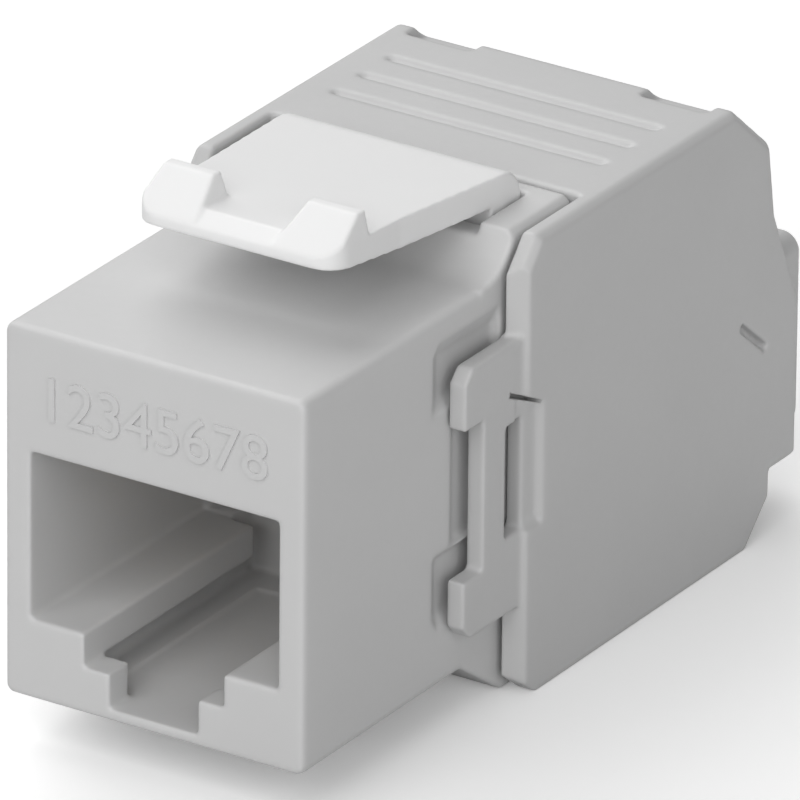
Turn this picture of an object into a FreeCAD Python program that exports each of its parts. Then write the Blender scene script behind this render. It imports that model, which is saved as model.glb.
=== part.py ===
import FreeCAD, Part
import math
import os

# Keystone jack with a snap-on rear cover, in millimetres.
#
# Working frame: the port's front face is the plane y = 0, the plug goes in along +Y, the
# underside of the front block is z = 0 and x = 0 is the plane of symmetry.
# Every piece is moved by PLACE when it is written, so that the finished jack stands on z = 0
# with its origin under the middle of its overall box.

V = FreeCAD.Vector

# ---- general --------------------------------------------------------------------------------
CUT_OVERRUN = 1.0
SAME_PLACE = 0.01
FIT_GAP = 0.1
HOLE_GAP = 0.15

# ---- rear cover: its width sets the width of all that it closes round --------------------------
COVER_WIDTH = 16.9
COVER_WALL = 0.95
COVER_SIDE_GAP = 0.25
HALF_COVER = COVER_WIDTH / 2
COVER_INNER = HALF_COVER - COVER_WALL

# ---- front block: the part that passes through a keystone opening -------------------------
BLOCK_WIDTH = 2 * (COVER_INNER - COVER_SIDE_GAP)
BLOCK_HEIGHT = 16.6
BLOCK_EDGE_ROUND = 0.4
HALF_BLOCK = BLOCK_WIDTH / 2

# ---- plug port ----------------------------------------------------------------------------
PORT_WIDTH = 12.0
PORT_FLOOR_Z = 3.6
PORT_CEILING_Z = 11.1
PORT_DEPTH = 13.0
PORT_MOUTH_CHAMFER = 0.15
CHANNEL_WIDTH = 6.8
CHANNEL_STEP_DROP = 1.5
CHANNEL_STEP_Z = PORT_FLOOR_Z - CHANNEL_STEP_DROP
LATCH_SLOT_WIDTH = 4.3
LATCH_SLOT_FLOOR_Z = 0.55
FRONT_LIP = 1.6

# ---- shoulder: the taller rear end of the front housing ------------------------------------
SHOULDER_REAR_Y = 20.0
SHOULDER_LENGTH = 6.7
SHOULDER_START_Y = SHOULDER_REAR_Y - SHOULDER_LENGTH
SHOULDER_HOLLOW_RADIUS = 2.4
SHOULDER_RISE = 1.8
SHOULDER_TOP_Z = BLOCK_HEIGHT + SHOULDER_RISE
SHOULDER_BOTTOM_Z = -2.0
SHOULDER_RAMP_LEAD = 1.1
SHOULDER_RAMP_LENGTH = 2.9
SHOULDER_RAMP_START_Y = SHOULDER_START_Y - SHOULDER_RAMP_LEAD
SHOULDER_RAMP_END_Y = SHOULDER_RAMP_START_Y + SHOULDER_RAMP_LENGTH
SHOULDER_EDGE_BREAK = 0.3
LIP_FRONT_Y = 5.6
LIP_LENGTH = 2.4
LIP_WIDTH = 9.6
LIP_DROP = 1.3

# ---- keystone latch ------------------------------------------------------------------------
LATCH_SIDE_LAND = 1.8
LATCH_WIDTH = BLOCK_WIDTH - 2 * LATCH_SIDE_LAND
LATCH_FLARE = 0.55
LATCH_NOSE_WIDTH = LATCH_WIDTH - 2 * LATCH_FLARE
LATCH_THICKNESS = 1.35
LATCH_NOSE_THICKNESS = 0.98
LATCH_LIP_HEIGHT = 0.45
LATCH_LIP_LENGTH = 0.9
LATCH_FRONT_Y = 5.75
LATCH_STRAIGHT_LENGTH = 5.0
LATCH_FLARE_Y = LATCH_FRONT_Y + LATCH_STRAIGHT_LENGTH
LATCH_REAR_SETBACK = 0.95
LATCH_REAR_Y = SHOULDER_REAR_Y - LATCH_REAR_SETBACK
LATCH_REAR_ROUND = 1.4
LATCH_PLAN_ROUND = 1.2
LATCH_PIVOT_SETBACK = 2.3
LATCH_PIVOT_DROP = 1.1
LATCH_PIVOT_Y = SHOULDER_REAR_Y - LATCH_PIVOT_SETBACK
LATCH_PIVOT_Z = SHOULDER_TOP_Z - LATCH_PIVOT_DROP
LATCH_REAR_RISE = 1.27
LATCH_FRONT_RISE = 2.13
LATCH_PLATE_REAR_Z = SHOULDER_TOP_Z + LATCH_REAR_RISE
LATCH_PLATE_FRONT_Z = SHOULDER_TOP_Z + LATCH_FRONT_RISE
LATCH_KNUCKLE_RADIUS = 0.85
LATCH_CLEARANCE = 0.15
LATCH_TIP_ROOM = 0.2
LATCH_HEEL_Z = LATCH_PIVOT_Z + LATCH_CLEARANCE
SEAT_WIDTH = LATCH_WIDTH + 2 * LATCH_CLEARANCE
SEAT_RELIEF_DEPTH = 0.5
TRUNNION_RADIUS = 0.55
TRUNNION_LENGTH = 0.85
TRUNNION_CLEARANCE = 0.05
HORN_HEIGHT = 1.05
HORN_LENGTH = 2.7
HORN_TOP_LENGTH = 0.6
HORN_WIDTH = 3.0
HORN_INNER_SLOPE = 0.35
HORN_OUTER_SLOPE = 0.2
HORN_RAMP_SETBACK = 0.1
HORN_RAMP_DROP = 0.43
HORN_REAR_Y = LATCH_FRONT_Y + HORN_LENGTH

# ---- cable outlet ----------------------------------------------------------------------------
CABLE_BORE_RADIUS = 3.75
CABLE_Z = 5.3
OUTLET_WALL = 0.65
OUTLET_TOP_Z = CABLE_Z + CABLE_BORE_RADIUS + OUTLET_WALL
OUTLET_BOTTOM_Z = CABLE_Z - CABLE_BORE_RADIUS - OUTLET_WALL
OUTLET_SIDE_MARGIN = 0.5
OUTLET_WIDTH = 2 * (COVER_INNER - OUTLET_SIDE_MARGIN)
OUTLET_ROUND = 0.8
MOUTH_RELIEF = 0.1

# ---- rear cover's side outline ---------------------------------------------------------------
COVER_TOP_Z = SHOULDER_TOP_Z
COVER_BOTTOM_Z = -2.1
COVER_FRONT_GAP = 0.25
COVER_OPEN_Y = SHOULDER_REAR_Y + COVER_FRONT_GAP
CHEEK_OVERLAP = 5.45
COVER_CHEEK_FRONT_Y = SHOULDER_REAR_Y - CHEEK_OVERLAP
CHEEK_CORNER_LENGTH = 1.3
CHEEK_CORNER_HEIGHT = 1.5
CHEEK_TOE_HEIGHT = 1.0
CHEEK_BEVEL_WIDTH = 0.95
CHEEK_BEVEL_LENGTH = 0.5
COVER_REAR_Y = 36.4
NOSE_LENGTH = 2.3
NOSE_TOP_DROP = 1.7
NOSE_FLOOR_WALL = 0.2
BACK_BREAK_SETBACK = 2.0
BACK_BREAK_DROP = 5.8
CROWN_SETBACK = 2.5
CROWN_DROP = 2.5
CROWN_LENGTH = 2.9
TAIL_HEIGHT = 1.0
HEEL_SETBACK = 1.8
OUTLET_STANDOUT = 2.2
TAIL_Y = COVER_REAR_Y - NOSE_LENGTH
NOSE_TOP_Z = OUTLET_TOP_Z - NOSE_TOP_DROP
NOSE_BOTTOM_Z = OUTLET_BOTTOM_Z - NOSE_FLOOR_WALL
BACK_BREAK_Y = COVER_REAR_Y - BACK_BREAK_SETBACK
BACK_BREAK_Z = COVER_TOP_Z - BACK_BREAK_DROP
CROWN_END_Y = COVER_REAR_Y - CROWN_SETBACK
CROWN_END_Z = COVER_TOP_Z - CROWN_DROP
CROWN_START_Y = CROWN_END_Y - CROWN_LENGTH
TAIL_Z = NOSE_BOTTOM_Z - TAIL_HEIGHT
HEEL_Y = TAIL_Y - HEEL_SETBACK
OUTLET_REAR_Y = COVER_REAR_Y + OUTLET_STANDOUT
COVER_EDGE_ROUND = 0.3

# ---- rear cover's notches, grooves and slits ---------------------------------------------------
CROWN_NOTCH_WIDTH = 3.2
CROWN_NOTCH_MARGIN = 1.1
CROWN_TONGUE_WIDTH = COVER_WIDTH - 2 * (CROWN_NOTCH_WIDTH + CROWN_NOTCH_MARGIN)
CROWN_NOTCH_LEAD = 0.7
CROWN_NOTCH_DEPTH = 0.65
CROWN_NOTCH_START_Y = CROWN_START_Y - CROWN_NOTCH_LEAD
CROWN_NOTCH_FLOOR_Z = COVER_TOP_Z - CROWN_NOTCH_DEPTH
GROOVE_COUNT = 3
GROOVE_SETBACK = 3.3
GROOVE_FIRST_Y = COVER_OPEN_Y + GROOVE_SETBACK
GROOVE_PITCH = 2.1
GROOVE_WIDTH = 0.4
GROOVE_DEPTH = 0.2
GROOVE_END_MARGIN = 1.8
GROOVE_LENGTH = COVER_WIDTH - 2 * GROOVE_END_MARGIN
SLIT_LENGTH = 2.7
SLIT_WIDTH = 0.35
SLIT_DEPTH = 0.5
SLIT_SETBACK = 3.7
SLIT_Y = COVER_REAR_Y - SLIT_SETBACK
SLIT_Z = 7.5
SLIT_ANGLE = -40.0

# ---- snap arms of the cover, one each side ---------------------------------------------------
ARM_CLEARANCE = 0.1
ARM_THICKNESS = 0.85
ARM_INNER = HALF_BLOCK + ARM_CLEARANCE
ARM_OUTER = ARM_INNER + ARM_THICKNESS
ARM_BOTTOM_Z = 2.1
ARM_TOP_DROP = 2.4
ARM_TOP_Z = BLOCK_HEIGHT - ARM_TOP_DROP
ARM_BAR_LENGTH = 2.5
ARM_BAR_FRONT_Y = COVER_CHEEK_FRONT_Y - ARM_BAR_LENGTH
ARM_PRONG_LENGTH = 1.45
ARM_PRONG_HEIGHT = 2.65
ARM_CORNER_CUT = 0.6
WINDOW_LEAD = 0.8
WINDOW_LENGTH = 1.3
WINDOW_BOTTOM_RAIL = 3.45
WINDOW_TOP_RAIL = 3.6
WINDOW_FRONT_Y = COVER_CHEEK_FRONT_Y - WINDOW_LEAD
WINDOW_BOTTOM_Z = ARM_BOTTOM_Z + WINDOW_BOTTOM_RAIL
WINDOW_TOP_Z = ARM_TOP_Z - WINDOW_TOP_RAIL
RELIEF_LENGTH = 1.65
RELIEF_REAR_Y = COVER_CHEEK_FRONT_Y + RELIEF_LENGTH
RELIEF_DEPTH = 0.45
RELIEF_BOTTOM_GAP = 0.1
RELIEF_TOP_GAP = 0.4

# ---- plug contacts and their carrier -----------------------------------------------------------
CONTACT_COUNT = 8
CONTACT_PITCH = 1.02
CONTACT_WIRE_RADIUS = 0.2
CONTACT_ROOT_DROP = 0.95
CONTACT_TOUCH_DROP = 2.15
CONTACT_TIP_DROP = 0.75
CONTACT_ROOT_Z = PORT_CEILING_Z - CONTACT_ROOT_DROP
CONTACT_BEND_Y = 12.0
CONTACT_TOUCH_Y = 8.4
CONTACT_TOUCH_Z = PORT_CEILING_Z - CONTACT_TOUCH_DROP
CONTACT_TIP_Y = 3.9
CONTACT_TIP_Z = PORT_CEILING_Z - CONTACT_TIP_DROP
CONTACT_BEND_RADIUS = 1.0
CONTACT_SLOT_CLEARANCE = 0.13
CARRIER_WIDTH = 10.4
CARRIER_HEIGHT = 2.6
CARRIER_FRONT_Y = 2.6
CARRIER_WALL = 1.3
CARRIER_SLOT_ROOF = 0.65
CARRIER_BOTTOM_Z = PORT_CEILING_Z
CARRIER_TOP_Z = CARRIER_BOTTOM_Z + CARRIER_HEIGHT

# ---- board and terminals -----------------------------------------------------------------------
BOARD_THICKNESS = 1.2
BOARD_SIDE_WALL = 1.15
BOARD_WIDTH = BLOCK_WIDTH - 2 * BOARD_SIDE_WALL
BOARD_BOTTOM_Z = 0.9
BOARD_TOP_DROP = 1.1
BOARD_TOP_Z = BLOCK_HEIGHT - BOARD_TOP_DROP
PORT_REAR_WALL = 2.2
BOARD_SEAT_Y = PORT_DEPTH + PORT_REAR_WALL
BOARD_REAR_Y = BOARD_SEAT_Y + BOARD_THICKNESS
POCKET_WIDTH = BOARD_WIDTH + 2 * FIT_GAP
POCKET_BOTTOM_Z = BOARD_BOTTOM_Z - FIT_GAP
POCKET_TOP_Z = BOARD_TOP_Z + FIT_GAP
TERMINAL_COLUMNS = 4
TERMINAL_PITCH = 2.9
TERMINAL_ROW_INSET = 2.3
TERMINAL_ROW_LOW_Z = BOARD_BOTTOM_Z + TERMINAL_ROW_INSET
TERMINAL_ROW_HIGH_Z = BOARD_TOP_Z - TERMINAL_ROW_INSET
TERMINAL_BASE = 2.4
TERMINAL_TOWER = 5.4
TERMINAL_TOWER_HEIGHT = 3.6
TERMINAL_BASE_Y = BOARD_REAR_Y + TERMINAL_BASE
TERMINAL_REAR_Y = TERMINAL_BASE_Y + TERMINAL_TOWER
BLADE_WIDTH = 1.5
BLADE_THICKNESS = 0.4
BLADE_FORK_DEPTH = 3.2
BLADE_FORK_GAP = 0.35
BLADE_TIP_SETBACK = 0.6
BLADE_TIP_CHAMFER = 0.375
BLADE_PIN_WIDTH = 0.6
BLADE_GAP = 0.08
CORE_GROOVE_WIDTH = 1.3
SOLDER_ROOM = 0.2

# ---- wire manager --------------------------------------------------------------------------------
MANAGER_CLEARANCE = 0.15
MANAGER_GAP = 0.4
MANAGER_PLATE = 4.2
MANAGER_FRONT_Y = TERMINAL_REAR_Y + MANAGER_GAP
MANAGER_PLATE_REAR_Y = MANAGER_FRONT_Y + MANAGER_PLATE

PLACE = V(0, -OUTLET_REAR_Y / 2, -COVER_BOTTOM_Z)


def box(x0, x1, y0, y1, z0, z1):
    """An upright block between two corners."""
    return Part.makeBox(x1 - x0, y1 - y0, z1 - z0, V(x0, y0, z0))


def mid_box(width, y0, y1, z0, z1):
    """A block centred on the plane of symmetry."""
    return box(-width / 2, width / 2, y0, y1, z0, z1)


def side_face(points, x):
    """A flat face in the plane x, from (y, z) corners."""
    corners = [V(x, y, z) for y, z in points]
    return Part.Face(Part.makePolygon(corners + corners[:1]))


def side_prism(points, x0, x1):
    """A side outline of (y, z) corners, pushed from x0 to x1."""
    return side_face(points, x0).extrude(V(x1 - x0, 0, 0))


def front_prism(points, y0, y1):
    """A front outline of (x, z) corners, pushed from y0 to y1."""
    corners = [V(x, y0, z) for x, z in points]
    face = Part.Face(Part.makePolygon(corners + corners[:1]))
    return face.extrude(V(0, y1 - y0, 0))


def rod_x(radius, x0, x1, y, z):
    """A round bar along X."""
    return Part.makeCylinder(radius, x1 - x0, V(x0, y, z), V(1, 0, 0))


def rod_y(radius, y0, y1, x, z):
    """A round bar along Y."""
    return Part.makeCylinder(radius, y1 - y0, V(x, y0, z), V(0, 1, 0))


def edges_where(shape, test):
    """The edges whose two ends and middle all pass the test."""
    chosen = []
    for edge in shape.Edges:
        points = [vertex.Point for vertex in edge.Vertexes] + [edge.CenterOfMass]
        if all(test(point) for point in points):
            chosen.append(edge)
    return chosen


def near(value, target):
    """Whether two lengths are the same place for choosing edges."""
    return abs(value - target) < SAME_PLACE


def contact_x(number):
    """The x of plug contact 1 to 8."""
    return (number - (CONTACT_COUNT + 1) / 2) * CONTACT_PITCH


def terminal_places():
    """The x and z of the insulation-displacement terminals, low row first."""
    places = []
    for row_z in (TERMINAL_ROW_LOW_Z, TERMINAL_ROW_HIGH_Z):
        for column in range(TERMINAL_COLUMNS):
            x = (column - (TERMINAL_COLUMNS - 1) / 2) * TERMINAL_PITCH
            places.append((x, row_z))
    return places


# ---- front housing -----------------------------------------------------------------------------
def port_space():
    """The plug's room: the port, its stepped latch channel and the narrow slot in the front lip."""
    port = mid_box(PORT_WIDTH, 0, PORT_DEPTH, PORT_FLOOR_Z, PORT_CEILING_Z)
    step = mid_box(CHANNEL_WIDTH, 0, PORT_DEPTH, CHANNEL_STEP_Z, PORT_FLOOR_Z)
    channel = mid_box(CHANNEL_WIDTH, FRONT_LIP, PORT_DEPTH, LATCH_SLOT_FLOOR_Z, PORT_FLOOR_Z)
    slot = mid_box(LATCH_SLOT_WIDTH, 0, FRONT_LIP, LATCH_SLOT_FLOOR_Z, CHANNEL_STEP_Z)
    return port.fuse([step, channel, slot])


def mouth_flare():
    """The bevel round the port's mouth, a shallow four-sided funnel."""
    rings = []
    for y, grow in ((0, PORT_MOUTH_CHAMFER), (PORT_MOUTH_CHAMFER, 0)):
        half = PORT_WIDTH / 2 + grow
        low = PORT_FLOOR_Z - grow
        high = PORT_CEILING_Z + grow
        corners = [V(-half, y, low), V(half, y, low), V(half, y, high), V(-half, y, high)]
        rings.append(Part.makePolygon(corners + corners[:1]))
    return Part.makeLoft(rings, True, True)


def shoulder_outline():
    """The side outline of the shoulder, hollowed to the block on top and ramped below."""
    hollow_centre_z = BLOCK_HEIGHT + SHOULDER_HOLLOW_RADIUS
    rise = hollow_centre_z - SHOULDER_TOP_Z
    top_y = SHOULDER_START_Y + math.sqrt(SHOULDER_HOLLOW_RADIUS ** 2 - rise ** 2)
    start = V(0, SHOULDER_START_Y, BLOCK_HEIGHT)
    end = V(0, top_y, SHOULDER_TOP_Z)
    turn = math.acos(rise / SHOULDER_HOLLOW_RADIUS) / 2
    middle = V(0, SHOULDER_START_Y + SHOULDER_HOLLOW_RADIUS * math.sin(turn),
               hollow_centre_z - SHOULDER_HOLLOW_RADIUS * math.cos(turn))
    corners = [
        end,
        V(0, SHOULDER_REAR_Y, SHOULDER_TOP_Z),
        V(0, SHOULDER_REAR_Y, SHOULDER_BOTTOM_Z),
        V(0, SHOULDER_RAMP_END_Y, SHOULDER_BOTTOM_Z),
        V(0, SHOULDER_RAMP_START_Y, 0),
        start,
    ]
    edges = [Part.Arc(start, middle, end).toShape()]
    edges += [Part.makeLine(a, b) for a, b in zip(corners, corners[1:])]
    return Part.Face(Part.Wire(edges))


def shoulder():
    """The shoulder that stops against the panel, with its long top edges broken."""
    body = shoulder_outline()
    body.translate(V(-HALF_BLOCK, 0, 0))
    body = body.extrude(V(BLOCK_WIDTH, 0, 0))
    top = edges_where(body, lambda p: near(abs(p.x), HALF_BLOCK) and near(p.z, SHOULDER_TOP_Z))
    return body.makeChamfer(SHOULDER_EDGE_BREAK, top)


def latch_seat():
    """The slot in the shoulder that takes the latch's root, with room for it to tip."""
    knuckle = LATCH_KNUCKLE_RADIUS + LATCH_CLEARANCE
    slot_front_y = LATCH_PIVOT_Y - knuckle - LATCH_TIP_ROOM
    slot_rear_y = LATCH_REAR_Y + LATCH_CLEARANCE
    top_z = SHOULDER_TOP_Z + CUT_OVERRUN
    cradle = rod_x(knuckle, -SEAT_WIDTH / 2, SEAT_WIDTH / 2, LATCH_PIVOT_Y, LATCH_PIVOT_Z)
    slot = mid_box(SEAT_WIDTH, slot_front_y, slot_rear_y, LATCH_PIVOT_Z, top_z)
    relief = mid_box(SEAT_WIDTH, SHOULDER_START_Y, LATCH_PIVOT_Y,
                     SHOULDER_TOP_Z - SEAT_RELIEF_DEPTH, top_z)
    reach = LATCH_WIDTH / 2 + TRUNNION_LENGTH + FIT_GAP
    bore = rod_x(TRUNNION_RADIUS + TRUNNION_CLEARANCE, -reach, reach, LATCH_PIVOT_Y, LATCH_PIVOT_Z)
    return cradle.fuse([slot, relief, bore])


def carrier_room():
    """The tunnel over the port that takes the contact carrier, open to the rear pocket."""
    return mid_box(CARRIER_WIDTH + 2 * FIT_GAP, CARRIER_FRONT_Y, BOARD_SEAT_Y,
                   CARRIER_BOTTOM_Z, CARRIER_TOP_Z + FIT_GAP)


def contact_passage():
    """The opening through the port's rear wall for the contacts' rear runs."""
    drop = CONTACT_WIRE_RADIUS + HOLE_GAP
    return mid_box(CARRIER_WIDTH + 2 * FIT_GAP, PORT_DEPTH, BOARD_SEAT_Y,
                   CONTACT_ROOT_Z - drop, CARRIER_BOTTOM_Z)


def bottom_lip():
    """The fixed catch under the block, which hooks the panel's lower edge."""
    rear_y = LIP_FRONT_Y + LIP_LENGTH
    outline = [(LIP_FRONT_Y, 0), (rear_y, 0), (rear_y, -LIP_DROP),
               (rear_y - LIP_DROP / 2, -LIP_DROP)]
    return side_prism(outline, -LIP_WIDTH / 2, LIP_WIDTH / 2)


def front_housing():
    """The moulded front housing: block, shoulder, port, tunnel and rear pocket."""
    block = mid_box(BLOCK_WIDTH, 0, SHOULDER_REAR_Y, 0, BLOCK_HEIGHT)
    long_edges = edges_where(block, lambda p: near(abs(p.x), HALF_BLOCK)
                             and (near(p.z, 0) or near(p.z, BLOCK_HEIGHT)))
    front_edges = edges_where(block, lambda p: near(p.y, 0))
    block = block.makeFillet(BLOCK_EDGE_ROUND, long_edges + front_edges)
    body = block.fuse([shoulder(), bottom_lip()]).removeSplitter()
    pocket = mid_box(POCKET_WIDTH, BOARD_SEAT_Y, SHOULDER_REAR_Y, POCKET_BOTTOM_Z, POCKET_TOP_Z)
    spaces = [port_space(), mouth_flare(), carrier_room(), contact_passage(), pocket]
    return body.cut(spaces + [latch_seat()])


# ---- latch ---------------------------------------------------------------------------------------
def latch_top_z(y):
    """The height of the latch plate's upper face at y."""
    slope = (LATCH_PLATE_FRONT_Z - LATCH_PLATE_REAR_Z) / (LATCH_REAR_Y - LATCH_FRONT_Y)
    return LATCH_PLATE_FRONT_Z - slope * (y - LATCH_FRONT_Y)


def latch_plan():
    """The latch's room seen from above: straight nose with round corners, flared to the root."""
    nose = LATCH_NOSE_WIDTH / 2
    root = LATCH_WIDTH / 2
    base_z = LATCH_PIVOT_Z - LATCH_KNUCKLE_RADIUS
    right = [(nose, LATCH_FRONT_Y), (nose, LATCH_FLARE_Y), (root, LATCH_PIVOT_Y),
             (root, LATCH_REAR_Y)]
    left = [(-x, y) for x, y in reversed(right)]
    corners = [V(x, y, base_z) for x, y in right + left]
    face = Part.Face(Part.makePolygon(corners + corners[:1]))
    height = LATCH_PLATE_FRONT_Z + HORN_HEIGHT + CUT_OVERRUN - base_z
    body = face.extrude(V(0, 0, height))
    front = edges_where(body, lambda p: near(abs(p.x), nose) and near(p.y, LATCH_FRONT_Y))
    return body.makeFillet(LATCH_PLAN_ROUND, front)


def latch_profile():
    """The plate and root from the side: thin lip, thicker middle, rounded rear end."""
    half = LATCH_WIDTH / 2
    nose_z = LATCH_PLATE_FRONT_Z - LATCH_NOSE_THICKNESS
    lip_rear_y = LATCH_FRONT_Y + LATCH_LIP_LENGTH
    web_front_y = LATCH_PIVOT_Y - LATCH_KNUCKLE_RADIUS
    outline = [
        (LATCH_FRONT_Y, nose_z + LATCH_LIP_HEIGHT),
        (lip_rear_y, latch_top_z(lip_rear_y)),
        (LATCH_REAR_Y, LATCH_PLATE_REAR_Z),
        (LATCH_REAR_Y, LATCH_HEEL_Z),
        (LATCH_PIVOT_Y, LATCH_HEEL_Z),
        (LATCH_PIVOT_Y, LATCH_PIVOT_Z),
        (web_front_y, LATCH_PIVOT_Z),
        (web_front_y, latch_top_z(web_front_y) - LATCH_THICKNESS),
        (LATCH_FLARE_Y, latch_top_z(LATCH_FLARE_Y) - LATCH_THICKNESS),
        (LATCH_FRONT_Y, nose_z),
    ]
    body = side_prism(outline, -half, half)
    rear = edges_where(body, lambda p: near(p.y, LATCH_REAR_Y) and near(p.z, LATCH_PLATE_REAR_Z))
    return body.makeFillet(LATCH_REAR_ROUND, rear)


def horn(side):
    """One catch on the latch's free end: ramp in front, flat crest, upright behind."""
    outer = LATCH_NOSE_WIDTH / 2
    inner = outer - HORN_WIDTH
    base_z = latch_top_z(HORN_REAR_Y)
    top_z = base_z + HORN_HEIGHT
    foot_z = LATCH_PLATE_FRONT_Z - LATCH_NOSE_THICKNESS + LATCH_LIP_HEIGHT / 2
    ramp_z = LATCH_PLATE_FRONT_Z - HORN_RAMP_DROP
    ramp_y = LATCH_FRONT_Y + HORN_RAMP_SETBACK
    profile = [(ramp_y, foot_z), (ramp_y, ramp_z), (HORN_REAR_Y - HORN_TOP_LENGTH, top_z),
               (HORN_REAR_Y, top_z), (HORN_REAR_Y, foot_z)]
    section = [
        (inner, foot_z),
        (inner, base_z),
        (inner + HORN_INNER_SLOPE, top_z),
        (outer - HORN_OUTER_SLOPE, top_z),
        (outer, base_z),
        (outer, foot_z),
    ]
    ramp = side_prism(profile, inner, outer)
    body = ramp.common(front_prism(section, LATCH_FRONT_Y, HORN_REAR_Y))
    if side < 0:
        body = body.mirror(V(0, 0, 0), V(1, 0, 0))
    return body


def keystone_latch():
    """The latch lever: tilted plate with two catches, root knuckle and two trunnions."""
    half = LATCH_WIDTH / 2
    plate = latch_profile().fuse([horn(1), horn(-1)]).common(latch_plan())
    knuckle = rod_x(LATCH_KNUCKLE_RADIUS, -half, half, LATCH_PIVOT_Y, LATCH_PIVOT_Z)
    reach = half + TRUNNION_LENGTH
    trunnions = rod_x(TRUNNION_RADIUS, -reach, reach, LATCH_PIVOT_Y, LATCH_PIVOT_Z)
    return plate.fuse([knuckle, trunnions]).removeSplitter()


# ---- contacts --------------------------------------------------------------------------------------
def rounded_path(points, radius, x):
    """A wire in the plane x through (y, z) points, its inner corners rounded."""
    corners = [V(x, y, z) for y, z in points]
    edges = []
    start = corners[0]
    for before, corner, after in zip(corners, corners[1:], corners[2:]):
        way_in = (corner - before).normalize()
        way_out = (after - corner).normalize()
        turn = way_in.getAngle(way_out)
        setback = radius * math.tan(turn / 2)
        first = corner - way_in * setback
        last = corner + way_out * setback
        inward = (way_out - way_in).normalize()
        depth = radius * (1 / math.cos(turn / 2) - 1)
        edges.append(Part.makeLine(start, first))
        edges.append(Part.Arc(first, corner + inward * depth, last).toShape())
        start = last
    edges.append(Part.makeLine(start, corners[-1]))
    return Part.Wire(edges)


def spring_contact(number):
    """One plug contact: a bent wire from the board, down to the plug's blade and up to its tip."""
    points = [
        (BOARD_REAR_Y + FIT_GAP, CONTACT_ROOT_Z),
        (CONTACT_BEND_Y, CONTACT_ROOT_Z),
        (CONTACT_TOUCH_Y, CONTACT_TOUCH_Z),
        (CONTACT_TIP_Y, CONTACT_TIP_Z),
    ]
    x = contact_x(number)
    path = rounded_path(points, CONTACT_BEND_RADIUS, x)
    start = V(x, points[0][0], points[0][1])
    ring = Part.Wire(Part.makeCircle(CONTACT_WIRE_RADIUS, start, V(0, -1, 0)))
    return path.makePipeShell([ring], True, False)


def contact_carrier():
    """The comb over the port: a block with one slot for each contact to rise into."""
    body = mid_box(CARRIER_WIDTH, CARRIER_FRONT_Y, BOARD_SEAT_Y, CARRIER_BOTTOM_Z, CARRIER_TOP_Z)
    slot_half = CONTACT_WIRE_RADIUS + CONTACT_SLOT_CLEARANCE
    roof_z = CARRIER_TOP_Z - CARRIER_SLOT_ROOF
    cuts = []
    for number in range(1, CONTACT_COUNT + 1):
        x = contact_x(number)
        cuts.append(box(x - slot_half, x + slot_half, CARRIER_FRONT_Y + CARRIER_WALL,
                        PORT_DEPTH, CARRIER_BOTTOM_Z, roof_z))
    tip_front_y = CONTACT_TIP_Y - 2 * CONTACT_WIRE_RADIUS
    cuts.append(mid_box(CONTACT_COUNT * CONTACT_PITCH, tip_front_y,
                        CONTACT_TIP_Y + CARRIER_WALL, CARRIER_BOTTOM_Z, roof_z))
    return body.cut(cuts)


def circuit_board():
    """The board behind the port, drilled for the plug contacts and the terminals' pins."""
    body = mid_box(BOARD_WIDTH, BOARD_SEAT_Y, BOARD_REAR_Y, BOARD_BOTTOM_Z, BOARD_TOP_Z)
    y0 = BOARD_SEAT_Y - CUT_OVERRUN
    y1 = BOARD_REAR_Y + CUT_OVERRUN
    holes = []
    for number in range(1, CONTACT_COUNT + 1):
        holes.append(rod_y(CONTACT_WIRE_RADIUS + HOLE_GAP, y0, y1, contact_x(number),
                           CONTACT_ROOT_Z))
    for x, z in terminal_places():
        holes.append(rod_y(BLADE_PIN_WIDTH / 2 + HOLE_GAP, y0, y1, x, z))
    return body.cut(holes)


# ---- terminals -----------------------------------------------------------------------------------
def idc_contact(x, z):
    """One insulation-displacement terminal: a flat forked blade with a pin into the board."""
    rear_y = TERMINAL_REAR_Y - BLADE_TIP_SETBACK
    half = BLADE_WIDTH / 2
    z0 = z - BLADE_THICKNESS / 2
    z1 = z + BLADE_THICKNESS / 2
    blade = box(x - half, x + half, BOARD_REAR_Y, rear_y, z0, z1)
    tips = edges_where(blade, lambda p: near(p.y, rear_y) and near(abs(p.x - x), half))
    blade = blade.makeChamfer(BLADE_TIP_CHAMFER, tips)
    gap = BLADE_FORK_GAP / 2
    fork = box(x - gap, x + gap, rear_y - BLADE_FORK_DEPTH, rear_y, z0, z1)
    pin_half = BLADE_PIN_WIDTH / 2
    pin = box(x - pin_half, x + pin_half, BOARD_SEAT_Y + FIT_GAP, BOARD_REAR_Y, z0, z1)
    return blade.cut(fork).fuse(pin).removeSplitter()


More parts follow.
